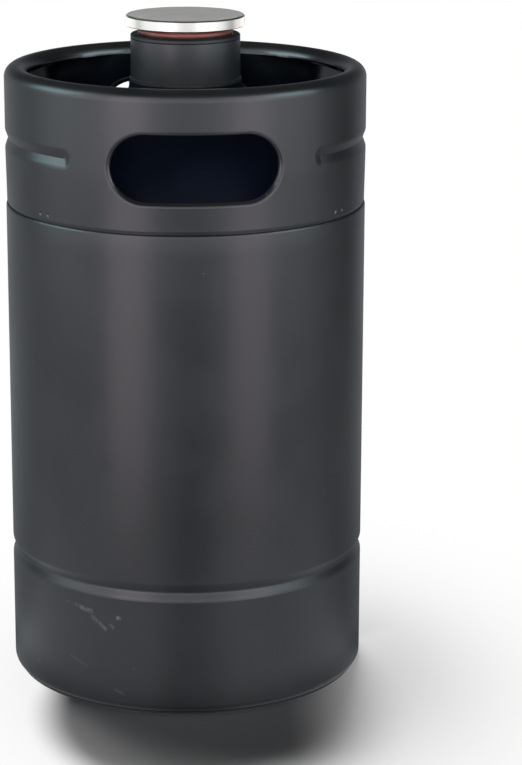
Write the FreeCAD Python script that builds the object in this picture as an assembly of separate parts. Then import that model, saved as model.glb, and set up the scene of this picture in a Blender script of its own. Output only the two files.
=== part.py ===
# Vacuum-insulated mini keg with a screw cap, as an assembly of its separate pieces.
# The origin is on the floor under the middle of the keg, +Z is up, and the two hand
# holes of the collar face -Y (front) and +Y (back). All sizes are in millimetres.
import FreeCAD, Part
import math
import os

# ---- Driving dimensions ------------------------------------------------------------
# Body
BODY_RADIUS = 81.0            # outer face of the body and of the rolled rim
SEAM_HEIGHT = 218.0           # top edge of the body, where the collar starts
OUTER_SHEET = 0.8             # outer wall and outer shoulder
WALL_EDGE_BEND = 1.4          # rounding of the body's top edge
WALL_EDGE_TURN = 50.0         # degrees that the top edge is turned in
GROOVE_HEIGHT = 57.4          # middle of the groove round the body
GROOVE_DEPTH = 1.8
GROOVE_SLOPE = 25.0           # degrees between a flank of the groove and the wall
GROOVE_EDGE_BEND = 1.6
GROOVE_ROOT_BEND = 1.0
BASE_CORNER = 3.5             # rounding where the wall turns under
BASE_LIP = 2.0                # width of the lip that the base plate is welded to

# Collar: its heights are above the seam
RIM_RISE = 61.0               # crest of the rolled rim
RIM_ROLL = 5.2                # outer radius of the roll
RIM_DROP = 0.8                # straight edge below the roll, inside the collar
COLLAR_SHEET = 1.2
COLLAR_STEP = 0.4             # how far the collar starts inside the body's outer face
COLLAR_SKIRT = 5.5            # length of collar inside the body
FLARE_RISE = 23.0             # where the collar reaches the body's radius
FLARE_BEND = 90.0
STEP_SLOPE = 20.0             # degrees of the joggle above the skirt
STEP_BEND = 1.6
HOLE_WIDTH = 71.4             # hand hole, across
HOLE_HEIGHT = 29.1
HOLE_RISE = 28.0              # middle of the hand hole
HOLE_FLANGE = 3.4             # depth of the turned-in edge
HOLE_EDGE_BEND = 1.8          # outer bend of that edge
BEAD_RISE = 29.5              # middle of the stiffening bead pressed into each side
BEAD_DEPTH = 1.5
BEAD_HALF_WIDTH = 4.0
BEAD_EDGE_BEND = 4.0
BEAD_HALF_ANGLE = 46.5        # degrees each side of the X axis
DIMPLE_RISE = 3.8             # spot-weld marks just above the seam, in pairs
DIMPLE_ANGLE = 52.8           # degrees from the middle of a hand hole
DIMPLE_SPACING = 5.4
DIMPLE_BALL = 1.5
DIMPLE_DEPTH = 0.3

# Shoulder
KNUCKLE_RADIUS = 20.0
KNUCKLE_DROP = 18.0           # from the seam down to where the knuckle starts
SHOULDER_SKIRT = 10.0         # length of skirt inside the wall
CROWN_RADIUS = 118.0
FLARE_RADIUS = 4.0
SHOULDER_RISE = 54.4          # from the seam up to its top edge, round the neck
SHOULDER_NECK = 2.0           # straight part above the flare

# Neck
NECK_RADIUS = 24.5
NECK_RISE = 20.8              # above the shoulder's top edge
NECK_SLEEVE_WALL = 1.0
NECK_LIP = 1.5                # thickness of the lip over the sleeve
LIP_ROUND = 0.4
SLEEVE_CHAMFER = 0.5          # makes the fine line under the lip
WELD_RING_HEIGHT = 1.6
WELD_RING_WIDTH = 0.45
FERRULE_INSET = 3.3           # from the neck's outer face to the ferrule's
FERRULE_WALL = 1.5            # at the root of the thread
FERRULE_TAIL = 6.2            # from the inner shoulder's top edge down to its end
THREAD_PITCH = 3.0
THREAD_DEPTH = 1.2
THREAD_CLEARANCE = 0.3        # radial, between the two threads
THREAD_CREST = 0.5            # width of a ridge at its crest
THREAD_ROOT = 1.4             # width of a ridge at its root
NECK_THREAD_TURNS = 3.4
CAP_THREAD_TURNS = 3.0
THREAD_START = 13.4           # from the neck's top down to the start of its thread

# Inner vessel
INNER_SHEET = 0.8
VACUUM_GAP = 4.2              # between the walls
INNER_NECK_DROP = 4.0         # from the outer shoulder's top edge to the inner one's
INNER_FLARE_RADIUS = 5.0
INNER_SHOULDER_NECK = 4.0
INNER_SHOULDER_SKIRT = 8.0
INNER_BOTTOM_HEIGHT = 15.0    # lowest point of the inner bottom
INNER_BOTTOM_CORNER = 12.0
INNER_BOTTOM_SLOPE = 6.0      # degrees at the edge of its shallow crown
INNER_BOTTOM_SKIRT = 6.0
FOIL = 0.3
FOIL_MARGIN = 8.0             # bare wall above and below the foil

# Base plate and what it carries
BASE_SHEET = 1.0
FOOT_INSET = 2.4              # from the body's outer face to the standing flange
FOOT_WIDTH = 4.4
BASE_RECESS = 5.5             # height of the plate's underside
RISER_SLOPE = 75.0
RISER_BEND = 2.0
POCKET_RADIUS = 8.6           # pocket for the evacuation point
POCKET_DEPTH = 2.0
POCKET_SLOPE = 70.0
POCKET_BEND = 1.3
PORT_RADIUS = 1.5             # evacuation hole
BEAD_HEAD_RADIUS = 3.0
BEAD_HEAD = 0.6
COVER_SHEET = 0.6
COVER_SIDE_GAP = 0.6          # from the pocket's side to the cover
COVER_LIFT = 0.2              # from the plate's underside up to the cover
GETTER_RADIUS = 5.0
GETTER_HEIGHT = 2.4
GETTER_OFFSET = 32.0          # from the keg's axis
BRACKET_SHEET = 0.5
BRACKET_WIDTH = 6.0
BRACKET_FOOT = 4.0

# Cap
CAP_OVERHANG = 2.0            # past the neck
CAP_HEIGHT = 4.8
CAP_LIFT = 3.7                # from the neck's top to the underside of the cap
CAP_SHEET = 1.0
CAP_TOP_EDGE = 0.6
CAP_LOW_EDGE = 0.3
PLUG_FLANGE = 1.2
PLUG_BOTTOM = 1.5
PLUG_WALL = 3.7               # between the thread's root and the foam
PLUG_DEPTH = 13.2             # from the neck's top to the plug's end
PLUG_END_CHAMFER = 0.6
SEAL_SECTION = 2.3            # radius of the ring's round section
SEAL_INSET = 0.8              # from the neck's thread root to the ring's centre line
SEAL_CLEARANCE = 0.15         # between ring and cap
SEAT_CLEARANCE = 0.3          # between ring and neck

# ---- Places worked out from them ---------------------------------------------------
WALL_BORE = BODY_RADIUS - OUTER_SHEET
INNER_RADIUS = WALL_BORE - VACUUM_GAP
RIM_HEIGHT = SEAM_HEIGHT + RIM_RISE
COLLAR_FLARE_TOP = SEAM_HEIGHT + FLARE_RISE
HOLE_MIDDLE = SEAM_HEIGHT + HOLE_RISE
BEAD_MIDDLE = SEAM_HEIGHT + BEAD_RISE
KNUCKLE_START = SEAM_HEIGHT - KNUCKLE_DROP
SHOULDER_TOP = SEAM_HEIGHT + SHOULDER_RISE
INNER_SHOULDER_TOP = SHOULDER_TOP - INNER_NECK_DROP
NECK_TOP = SHOULDER_TOP + NECK_RISE
SHOULDER_NECK_RADIUS = NECK_RADIUS + OUTER_SHEET
SLEEVE_BORE = NECK_RADIUS - NECK_SLEEVE_WALL
FERRULE_RADIUS = NECK_RADIUS - FERRULE_INSET
THREAD_RADIUS = FERRULE_RADIUS - FERRULE_WALL   # root of the thread inside the neck
SEAL_MIDDLE = THREAD_RADIUS - SEAL_INSET
CAP_RADIUS = NECK_RADIUS + CAP_OVERHANG
SLEEVE_TOP = NECK_TOP - NECK_LIP
FERRULE_END = INNER_SHOULDER_TOP - FERRULE_TAIL
FOOT_RADIUS = BODY_RADIUS - FOOT_INSET
PLATE_TOP = BASE_RECESS + BASE_SHEET
POCKET_CEILING = BASE_RECESS + POCKET_DEPTH
CAP_UNDERSIDE = NECK_TOP + CAP_LIFT
CAP_TOP = CAP_UNDERSIDE + CAP_HEIGHT
COVER_BORE = CAP_RADIUS - CAP_SHEET
PLUG_RADIUS = THREAD_RADIUS - THREAD_DEPTH - THREAD_CLEARANCE
PLUG_BORE = PLUG_RADIUS - PLUG_WALL
PLUG_END = NECK_TOP - PLUG_DEPTH
SEAL_HEIGHT = CAP_UNDERSIDE - SEAL_CLEARANCE - SEAL_SECTION
GROOVE_WALL = SEAL_MIDDLE - SEAL_SECTION - SEAL_CLEARANCE
PLUG_SHOULDER = SEAL_HEIGHT - SEAL_SECTION - SEAL_CLEARANCE
INNER_KNUCKLE = KNUCKLE_RADIUS - VACUUM_GAP
INNER_WALL_TOP = KNUCKLE_START - INNER_SHOULDER_SKIRT
INNER_WALL_BOTTOM = INNER_BOTTOM_HEIGHT + INNER_BOTTOM_CORNER + INNER_BOTTOM_SKIRT

AXIS_POINT = FreeCAD.Vector(0, 0, 0)
UP = FreeCAD.Vector(0, 0, 1)
SIDES = (0, 180)              # degrees: the collar's front and back are alike
MARGIN = 1.0                  # how far a cutting tool or a buried root runs past a face


# ---- Helpers -----------------------------------------------------------------------
def at(r, z):
    """A point of the half plane that profiles are drawn in."""
    return FreeCAD.Vector(r, 0, z)


def turned(edges):
    """The solid that a closed profile makes when it is turned round the keg's axis."""
    face = Part.Face(Part.Wire(edges))
    solid = face.revolve(AXIS_POINT, UP, 360)
    return Part.makeSolid(solid) if solid.ShapeType == "Shell" else solid


def line(start, end):
    return Part.LineSegment(start, end).toShape()


def turned_outline(points):
    """The turned solid of a profile with straight sides."""
    vectors = [at(r, z) for r, z in points]
    return turned([line(a, b) for a, b in zip(vectors, vectors[1:] + vectors[:1])])


class SheetPath:
    """A bent sheet, drawn along its outer face in the half plane.

    The sheet's thickness lies on the left of the direction of travel, and every bend
    radius is that of the outer face.
    """

    def __init__(self, r, z, heading, thickness):
        self.place = at(r, z)
        self.heading = math.radians(heading)
        self.thickness = thickness
        self.outer = []
        self.inner = []

    def left(self):
        return at(-math.sin(self.heading), math.cos(self.heading))

    def inner_place(self):
        return self.place + self.left() * self.thickness

    def straight(self, length):
        ahead = at(math.cos(self.heading), math.sin(self.heading)) * length
        start, inner_start = self.place, self.inner_place()
        self.place = start + ahead
        self.outer.append(line(start, self.place))
        self.inner.append(line(inner_start, inner_start + ahead))
        return self

    def turn(self, radius, degrees):
        """Bends the sheet: to the left for positive degrees."""
        side = 1 if degrees > 0 else -1
        centre = self.place + self.left() * radius * side
        places = [(self.place, self.inner_place())]
        for _ in range(2):
            self.heading += math.radians(degrees) / 2
            self.place = centre - self.left() * radius * side
            places.append((self.place, self.inner_place()))
        outer, inner = zip(*places)
        self.outer.append(Part.Arc(*outer).toShape())
        self.inner.append(Part.Arc(*inner).toShape())
        return self

    def shift(self, offset, slope, first_bend, second_bend):
        """Moves the sheet sideways by offset: a bend, a flank, and the bend back."""
        side = math.copysign(1, offset)
        angle = math.radians(slope)
        in_bends = (first_bend + second_bend) * (1 - math.cos(angle))
        flank = (abs(offset) - in_bends) / math.sin(angle)
        self.turn(first_bend, side * slope)
        self.straight(flank)
        return self.turn(second_bend, -side * slope)

    def solid(self):
        inner_start = self.inner[0].firstVertex().Point
        outer_start = self.outer[0].firstVertex().Point
        ends = [line(self.place, self.inner_place()), line(inner_start, outer_start)]
        return turned(self.outer + ends + self.inner)


def shift_run(offset, slope, first_bend, second_bend):
    """How far a shift takes the sheet forward."""
    angle = math.radians(slope)
    bends = first_bend + second_bend
    flank = (abs(offset) - bends * (1 - math.cos(angle))) / math.sin(angle)
    return bends * math.sin(angle) + flank * math.cos(angle)


def shoulder(wall_radius, skirt, knuckle, knuckle_start, crown, flare, neck_radius, neck_start,
             neck, sheet):
    """A domed shoulder: skirt, knuckle, crown, flare and the short neck above it."""
    knuckle_centre = at(wall_radius - knuckle, knuckle_start)
    flare_centre = at(neck_radius + flare, neck_start)
    between = flare_centre - knuckle_centre
    to_knuckle = crown - knuckle
    to_flare = crown + flare
    along = (to_knuckle ** 2 - to_flare ** 2 + between.Length ** 2) / (2 * between.Length)
    aside = math.sqrt(to_knuckle ** 2 - along ** 2)
    unit = between / between.Length
    crown_centre = knuckle_centre + unit * along + at(-unit.z, unit.x) * aside
    first = knuckle_centre - crown_centre
    last = flare_centre - crown_centre
    first_turn = math.degrees(math.atan2(first.z, first.x))
    last_turn = math.degrees(math.atan2(last.z, last.x))
    path = SheetPath(wall_radius, knuckle_start - skirt, 90, sheet)
    path.straight(skirt)
    path.turn(knuckle, first_turn)
    path.turn(crown, last_turn - first_turn)
    path.turn(flare, -last_turn)
    return path.straight(neck).solid()


def ridge(side, inner, outer, start, turns, crest_outside):
    """A helical ridge of right-hand thread between two radii, from height start up."""
    crest, root = THREAD_CREST / 2, THREAD_ROOT / 2
    inner_half, outer_half = (root, crest) if crest_outside else (crest, root)
    corners = [(inner, -inner_half), (outer, -outer_half), (outer, outer_half), (inner, inner_half)]
    points = [at(r, start + z) for r, z in corners]
    profile = Part.Wire([line(a, b) for a, b in zip(points, points[1:] + points[:1])])
    helix = Part.makeHelix(THREAD_PITCH, THREAD_PITCH * turns, side)
    helix.translate(UP * start)
    return Part.Wire(helix.Edges).makePipeShell([profile], True, True)


def ring(inner, outer, low, high):
    return turned_outline([(inner, low), (outer, low), (outer, high), (inner, high)])


def turned_by(shape, degrees):
    copy = shape.copy()
    copy.rotate(AXIS_POINT, UP, degrees)
    return copy


# ---- Body --------------------------------------------------------------------------
def outer_wall():
    """The body's tube: base corner, groove, and a straight mouth with a rounded edge."""
    flank = (GROOVE_DEPTH, GROOVE_SLOPE)
    half_groove = shift_run(*flank, GROOVE_EDGE_BEND, GROOVE_ROOT_BEND)
    corner_top = BASE_SHEET + BASE_CORNER
    edge_rise = WALL_EDGE_BEND * math.sin(math.radians(WALL_EDGE_TURN))
    path = SheetPath(BODY_RADIUS - BASE_CORNER - BASE_LIP, BASE_SHEET, 0, OUTER_SHEET)
    path.straight(BASE_LIP)
    path.turn(BASE_CORNER, 90)
    path.straight(GROOVE_HEIGHT - half_groove - corner_top)
    path.shift(*flank, GROOVE_EDGE_BEND, GROOVE_ROOT_BEND)
    path.shift(-GROOVE_DEPTH, GROOVE_SLOPE, GROOVE_ROOT_BEND, GROOVE_EDGE_BEND)
    path.straight(SEAM_HEIGHT - edge_rise - GROOVE_HEIGHT - half_groove)
    path.turn(WALL_EDGE_BEND, WALL_EDGE_TURN)
    mouth = ring(INNER_RADIUS, WALL_BORE, SEAM_HEIGHT - COLLAR_SKIRT, SEAM_HEIGHT)
    return path.solid().cut(mouth)


def outer_shoulder():
    return shoulder(WALL_BORE, SHOULDER_SKIRT, KNUCKLE_RADIUS, KNUCKLE_START, CROWN_RADIUS,
                    FLARE_RADIUS, SHOULDER_NECK_RADIUS, SHOULDER_TOP - SHOULDER_NECK,
                    SHOULDER_NECK, OUTER_SHEET)


# ---- Collar ------------------------------------------------------------------------
def collar_shell():
    """The plain collar: skirt inside the body, joggle, slight flare and rolled rim."""
    step = (COLLAR_STEP - OUTER_SHEET, STEP_SLOPE, STEP_BEND, STEP_BEND)
    flare_start = SEAM_HEIGHT + shift_run(*step)
    flare_rise = COLLAR_FLARE_TOP - flare_start
    lean = math.degrees(math.atan2(COLLAR_STEP, flare_rise))
    tangent = FLARE_BEND * math.tan(math.radians(lean) / 2)
    path = SheetPath(WALL_BORE, SEAM_HEIGHT - COLLAR_SKIRT, 90, COLLAR_SHEET)
    path.straight(COLLAR_SKIRT)
    path.shift(*step)
    path.turn(FLARE_BEND, -lean)
    path.straight(math.hypot(COLLAR_STEP, flare_rise) - 2 * tangent)
    path.turn(FLARE_BEND, lean)
    path.straight(RIM_HEIGHT - RIM_ROLL - COLLAR_FLARE_TOP - tangent)
    path.turn(RIM_ROLL, 180)
    return path.straight(RIM_DROP).solid()


def hand_hole_tool(grow):
    """A bar with round ends through the front of the collar, grown all round by grow."""
    radius = HOLE_HEIGHT / 2 + grow
    middle = HOLE_WIDTH / 2 - HOLE_HEIGHT / 2
    top, low = HOLE_MIDDLE + radius, HOLE_MIDDLE - radius
    front = -BODY_RADIUS - MARGIN

    def spot(x, z):
        return FreeCAD.Vector(x, front, z)

    right = Part.Arc(spot(middle, low), spot(middle + radius, HOLE_MIDDLE), spot(middle, top))
    left = Part.Arc(spot(-middle, top), spot(-middle - radius, HOLE_MIDDLE), spot(-middle, low))
    outline = Part.Wire([line(spot(-middle, low), spot(middle, low)), right.toShape(),
                         line(spot(middle, top), spot(-middle, top)), left.toShape()])
    return Part.Face(outline).extrude(FreeCAD.Vector(0, BODY_RADIUS, 0))


def edges_near(shape, radius, half_height, beside_hole):
    """The collar's edges about radius from the axis, in a band at the height of the holes.

    They are those at the two hand holes, or else those on the two sides between them.
    """
    found = []
    for edge in shape.Edges:
        middle = edge.valueAt((edge.FirstParameter + edge.LastParameter) / 2)
        on_face = abs(math.hypot(middle.x, middle.y) - radius) < COLLAR_SHEET / 2
        in_band = abs(middle.z - HOLE_MIDDLE) < half_height
        at_hole = abs(middle.x) < HOLE_WIDTH / 2 + 2 * COLLAR_SHEET
        if on_face and in_band and at_hole == beside_hole:
            found.append(edge)
    return found


def add_hand_holes(shell):
    """Cuts the two hand holes and turns their edges in."""
    hole = hand_hole_tool(0)
    outer_face = BODY_RADIUS - COLLAR_STEP / 2
    depths = ring(BODY_RADIUS - HOLE_FLANGE, outer_face - COLLAR_SHEET / 2,
                  HOLE_MIDDLE - HOLE_HEIGHT, HOLE_MIDDLE + HOLE_HEIGHT)
    flange = hand_hole_tool(COLLAR_SHEET).cut(hole).common(depths)
    shell = shell.fuse([turned_by(flange, angle) for angle in SIDES])
    shell = shell.cut([turned_by(hole, angle) for angle in SIDES]).removeSplitter()
    reach = HOLE_HEIGHT / 2 + 2 * COLLAR_SHEET
    inner_edges = edges_near(shell, outer_face - COLLAR_SHEET, reach, True)
    shell = shell.makeFillet(HOLE_EDGE_BEND - COLLAR_SHEET, inner_edges)
    return shell.makeFillet(HOLE_EDGE_BEND, edges_near(shell, outer_face, reach, True))


def bead_tool(crest_radius):
    """A wedge-shaped bead along the +X side of the collar, with a pointed end at each end."""
    tip = crest_radius - BEAD_DEPTH
    outer = crest_radius + MARGIN
    low, high = BEAD_MIDDLE - BEAD_HALF_WIDTH, BEAD_MIDDLE + BEAD_HALF_WIDTH
    outward = FreeCAD.Vector(1, 0, 0)
    points = [at(tip, BEAD_MIDDLE), at(crest_radius, low), at(outer, low), at(outer, high),
              at(crest_radius, high)]
    face = Part.Face(Part.Wire([line(a, b) for a, b in zip(points, points[1:] + points[:1])]))
    bar = turned_by(face.revolve(AXIS_POINT, UP, 2 * BEAD_HALF_ANGLE), -BEAD_HALF_ANGLE)
    point = Part.makeCone(0, BEAD_HALF_WIDTH, BEAD_DEPTH, at(tip, BEAD_MIDDLE), outward)
    head = Part.makeCylinder(BEAD_HALF_WIDTH, MARGIN, at(crest_radius, BEAD_MIDDLE), outward)
    end = point.fuse(head)
    return bar.fuse([turned_by(end, BEAD_HALF_ANGLE), turned_by(end, -BEAD_HALF_ANGLE)])


def add_beads(shell):
    """Presses the stiffening beads in from the outside, so that they stand out inside."""
    band = ring(BODY_RADIUS / 2, BODY_RADIUS - COLLAR_SHEET / 2, HOLE_MIDDLE - HOLE_HEIGHT,
                HOLE_MIDDLE + HOLE_HEIGHT)
    rib = bead_tool(BODY_RADIUS - COLLAR_SHEET).common(band)
    shell = shell.fuse([turned_by(rib, angle) for angle in SIDES])
    shell = shell.cut([turned_by(bead_tool(BODY_RADIUS), angle) for angle in SIDES])
    edges = edges_near(shell, BODY_RADIUS, HOLE_HEIGHT / 2, False)
    return shell.makeFillet(BEAD_EDGE_BEND, edges)


def collar():
    """The handle ring: skirt, hand holes with turned-in edges, beads and rolled rim."""
    return add_beads(add_hand_holes(collar_shell())).cut(weld_marks())


def weld_marks():
    """Small round dents, in pairs either side of each hand hole."""
    half_angle = math.degrees(DIMPLE_SPACING / 2 / BODY_RADIUS)
    distance = BODY_RADIUS - COLLAR_STEP + DIMPLE_BALL - DIMPLE_DEPTH
    balls = []
    for side in SIDES:
        for pair in (-DIMPLE_ANGLE, DIMPLE_ANGLE):
            for offset in (-half_angle, half_angle):
                ball = Part.makeSphere(DIMPLE_BALL, at(distance, SEAM_HEIGHT + DIMPLE_RISE))
                balls.append(turned_by(ball, side + pair + offset - 90))
    return balls


# ---- Neck --------------------------------------------------------------------------
def neck_sleeve():
    low = SHOULDER_TOP - SHOULDER_NECK - MARGIN
    return turned_outline([(SLEEVE_BORE, low), (NECK_RADIUS, low),
                           (NECK_RADIUS, SLEEVE_TOP - SLEEVE_CHAMFER),
                           (NECK_RADIUS - SLEEVE_CHAMFER, SLEEVE_TOP), (SLEEVE_BORE, SLEEVE_TOP)])


def neck_weld_ring():
    """The stepped ring that closes the joint of the sleeve and the shoulder."""
    top = SHOULDER_TOP + WELD_RING_HEIGHT
    outer = NECK_RADIUS + WELD_RING_WIDTH
    return turned_outline([(NECK_RADIUS, SHOULDER_TOP), (outer, SHOULDER_TOP),
                           (outer, top - WELD_RING_WIDTH / 2),
                           (outer - WELD_RING_WIDTH / 2, top), (NECK_RADIUS, top)])


def threaded_ferrule():
    """The neck's inner tube, with its lip, the seal's seat and the thread."""
    throat = THREAD_RADIUS - THREAD_DEPTH
    thread_low = NECK_TOP - THREAD_START
    relief = thread_low - THREAD_ROOT
    reach = SEAL_SECTION * math.sqrt(0.5)
    seat_offset = SEAL_MIDDLE + reach - (SEAL_HEIGHT - reach) + SEAT_CLEARANCE * math.sqrt(2)
    mouth = seat_offset + NECK_TOP
    lip_edge = NECK_RADIUS - LIP_ROUND
    tube = turned_outline([
        (throat, FERRULE_END), (FERRULE_RADIUS, FERRULE_END), (FERRULE_RADIUS, SLEEVE_TOP),
        (NECK_RADIUS, SLEEVE_TOP), (NECK_RADIUS, NECK_TOP - LIP_ROUND), (lip_edge, NECK_TOP),
        (mouth, NECK_TOP), (THREAD_RADIUS, THREAD_RADIUS - seat_offset),
        (THREAD_RADIUS, relief), (throat, relief - THREAD_DEPTH)])
    buried = THREAD_RADIUS + (FERRULE_RADIUS - THREAD_RADIUS) / 2
    return tube.fuse(ridge(THREAD_RADIUS, throat, buried, thread_low, NECK_THREAD_TURNS, False))


# ---- Inner vessel ------------------------------------------------------------------
def inner_shoulder():
    return shoulder(INNER_RADIUS, INNER_SHOULDER_SKIRT, INNER_KNUCKLE, KNUCKLE_START,
                    CROWN_RADIUS - VACUUM_GAP, INNER_FLARE_RADIUS, FERRULE_RADIUS + INNER_SHEET,
                    INNER_SHOULDER_TOP - INNER_SHOULDER_NECK, INNER_SHOULDER_NECK, INNER_SHEET)


def inner_wall():
    return ring(INNER_RADIUS - INNER_SHEET, INNER_RADIUS, INNER_WALL_BOTTOM, INNER_WALL_TOP)


def inner_bottom():
    """A shallow crown that rises to the middle, with a round corner and a skirt."""
    slope = math.radians(INNER_BOTTOM_SLOPE)
    crown = (INNER_RADIUS - INNER_BOTTOM_CORNER * (1 + math.sin(slope))) / math.sin(slope)
    middle = INNER_BOTTOM_HEIGHT + (crown + INNER_BOTTOM_CORNER) * (1 - math.cos(slope))
    path = SheetPath(0, middle, 0, INNER_SHEET)
    path.turn(crown, -INNER_BOTTOM_SLOPE)
    path.turn(INNER_BOTTOM_CORNER, 90 + INNER_BOTTOM_SLOPE)
    return path.straight(INNER_BOTTOM_SKIRT).solid()


def foil_wrap():
    return ring(INNER_RADIUS, INNER_RADIUS + FOIL, INNER_WALL_BOTTOM + FOIL_MARGIN,
                INNER_WALL_TOP - FOIL_MARGIN)


# ---- Base --------------------------------------------------------------------------
def base_plate():
    """The standing flange, the raised plate and its pocket for the evacuation point."""
    pocket = (-POCKET_DEPTH, POCKET_SLOPE, POCKET_BEND, POCKET_BEND)
    riser = (-BASE_RECESS, RISER_SLOPE, RISER_BEND, RISER_BEND)
    plate_start = POCKET_RADIUS + shift_run(*pocket)
    riser_start = FOOT_RADIUS - FOOT_WIDTH - shift_run(*riser)
    path = SheetPath(PORT_RADIUS, POCKET_CEILING, 0, BASE_SHEET)
    path.straight(POCKET_RADIUS - PORT_RADIUS)
    path.shift(*pocket)
    path.straight(riser_start - plate_start)
    path.shift(*riser)
    return path.straight(FOOT_WIDTH).solid()


def vacuum_seal_bead():
    """The glass bead that closes the evacuation hole."""
    head_low = POCKET_CEILING - BEAD_HEAD
    return turned_outline([(0, head_low), (BEAD_HEAD_RADIUS - BEAD_HEAD, head_low),
                           (BEAD_HEAD_RADIUS, POCKET_CEILING), (PORT_RADIUS, POCKET_CEILING),
                           (PORT_RADIUS, POCKET_CEILING + BASE_SHEET),
                           (0, POCKET_CEILING + BASE_SHEET)])


def seal_cover():
    """The pressed cover over the bead, with a rim that is welded to the pocket."""
    low = BASE_RECESS + COVER_LIFT
    outer = POCKET_RADIUS - COVER_SIDE_GAP
    return turned_outline([(0, low), (outer, low), (outer, POCKET_CEILING),
                           (outer - COVER_SHEET, POCKET_CEILING),
                           (outer - COVER_SHEET, low + COVER_SHEET), (0, low + COVER_SHEET)])


def getter_pill():
    return Part.makeCylinder(GETTER_RADIUS, GETTER_HEIGHT, at(GETTER_OFFSET, PLATE_TOP))


def getter_bracket():
    """The strap over the getter: two feet on the base plate and a bridge."""
    half = GETTER_RADIUS + BRACKET_SHEET
    foot_end = half + BRACKET_FOOT
    top = GETTER_HEIGHT + BRACKET_SHEET
    outline = [(-foot_end, 0), (-GETTER_RADIUS, 0), (-GETTER_RADIUS, GETTER_HEIGHT),
               (GETTER_RADIUS, GETTER_HEIGHT), (GETTER_RADIUS, 0), (foot_end, 0),
               (foot_end, BRACKET_SHEET), (half, BRACKET_SHEET), (half, top), (-half, top),
               (-half, BRACKET_SHEET), (-foot_end, BRACKET_SHEET)]
    front = -BRACKET_WIDTH / 2
    points = [FreeCAD.Vector(GETTER_OFFSET + x, front, PLATE_TOP + z) for x, z in outline]
    face = Part.Face(Part.Wire([line(a, b) for a, b in zip(points, points[1:] + points[:1])]))
    return face.extrude(FreeCAD.Vector(0, BRACKET_WIDTH, 0))


# ---- Cap ---------------------------------------------------------------------------
def cap_cover():
    """The drawn steel cover: a flat top and a rim that reaches down to its underside."""
    low, top = CAP_UNDERSIDE, CAP_TOP
    ceiling = top - CAP_SHEET
    return turned_outline([
        (0, ceiling), (COVER_BORE, ceiling), (COVER_BORE, low), (CAP_RADIUS - CAP_LOW_EDGE, low),
        (CAP_RADIUS, low + CAP_LOW_EDGE), (CAP_RADIUS, top - CAP_TOP_EDGE),
        (CAP_RADIUS - CAP_TOP_EDGE, top), (0, top)])


def cap_plug():
    """The threaded cup that closes the neck, with the groove for the seal."""
    flange_top = CAP_UNDERSIDE + PLUG_FLANGE
    cup = turned_outline([
        (0, PLUG_END), (PLUG_RADIUS - PLUG_END_CHAMFER, PLUG_END),
        (PLUG_RADIUS, PLUG_END + PLUG_END_CHAMFER), (PLUG_RADIUS, PLUG_SHOULDER),
        (GROOVE_WALL, PLUG_SHOULDER), (GROOVE_WALL, CAP_UNDERSIDE), (COVER_BORE, CAP_UNDERSIDE),
        (COVER_BORE, flange_top), (PLUG_BORE, flange_top), (PLUG_BORE, PLUG_END + PLUG_BOTTOM),
        (0, PLUG_END + PLUG_BOTTOM)])
    start = NECK_TOP - THREAD_START + THREAD_PITCH / 2
    crest = THREAD_RADIUS - THREAD_CLEARANCE
    buried = PLUG_RADIUS - PLUG_WALL / 4
    return cup.fuse(ridge(PLUG_RADIUS, buried, crest, start, CAP_THREAD_TURNS, True))


def cap_foam_core():
    """The foam that fills the cap."""
    flange_top = CAP_UNDERSIDE + PLUG_FLANGE
    ceiling = CAP_TOP - CAP_SHEET
    return turned_outline([(0, PLUG_END + PLUG_BOTTOM), (PLUG_BORE, PLUG_END + PLUG_BOTTOM),
                           (PLUG_BORE, flange_top), (COVER_BORE, flange_top),
                           (COVER_BORE, ceiling), (0, ceiling)])


def cap_seal():
    return Part.makeTorus(SEAL_MIDDLE, SEAL_SECTION, at(0, SEAL_HEIGHT), UP)


PIECES = [outer_wall, outer_shoulder, collar, neck_sleeve, neck_weld_ring, threaded_ferrule,
          inner_shoulder, inner_wall, inner_bottom, foil_wrap, base_plate, vacuum_seal_bead,
          seal_cover, getter_pill, getter_bracket, cap_cover, cap_plug, cap_foam_core, cap_seal]


def main():
    os.makedirs("parts", exist_ok=True)
    for piece in PIECES:
        shape = piece()
        solids = shape.Solids
        shape = solids[0] if len(solids) == 1 else Part.makeCompound(solids)
        shape.exportStep(f"parts/{piece.__name__}.step")
        print(f"{piece.__name__}: {len(solids)} solid, valid {shape.isValid()}, "
              f"{shape.Volume:.1f} mm3")


main()
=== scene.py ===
"""Looks of a vacuum-insulated mini keg with a screw cap.

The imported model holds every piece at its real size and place. This script gives each
piece its finish, and adds the floor, the light and the camera. Lengths are in metres.
The keg stands at the origin, +Z is up, and a hand hole of its collar faces -Y. Azimuths
are in degrees: 0 is in front of the keg, at -Y, and 90 is on its right, at +X.
"""

import logging
import math
from dataclasses import dataclass, field
from enum import Enum

import bmesh
import bpy
from mathutils import Matrix, Vector

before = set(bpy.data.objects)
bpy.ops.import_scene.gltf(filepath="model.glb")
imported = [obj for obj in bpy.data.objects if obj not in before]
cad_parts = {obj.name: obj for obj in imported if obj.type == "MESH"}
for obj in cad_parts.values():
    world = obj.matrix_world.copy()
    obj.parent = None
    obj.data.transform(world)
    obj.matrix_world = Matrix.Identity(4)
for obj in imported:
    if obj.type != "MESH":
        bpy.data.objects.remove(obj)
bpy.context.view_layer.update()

LOG = logging.getLogger("mini_keg")
Node = bpy.types.Node
Socket = bpy.types.NodeSocket
Tree = bpy.types.NodeTree
Colour = tuple[float, float, float]
Span = tuple[float, float]
Feed = Socket | float | tuple | Vector
WHITE: Colour = (1.0, 1.0, 1.0)


def around_axis(azimuth: float, radius: float, height: float) -> Vector:
    """The point at an azimuth, a distance from the keg's axis and a height."""
    angle = math.radians(azimuth)
    return Vector((radius * math.sin(angle), -radius * math.cos(angle), height))


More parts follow.
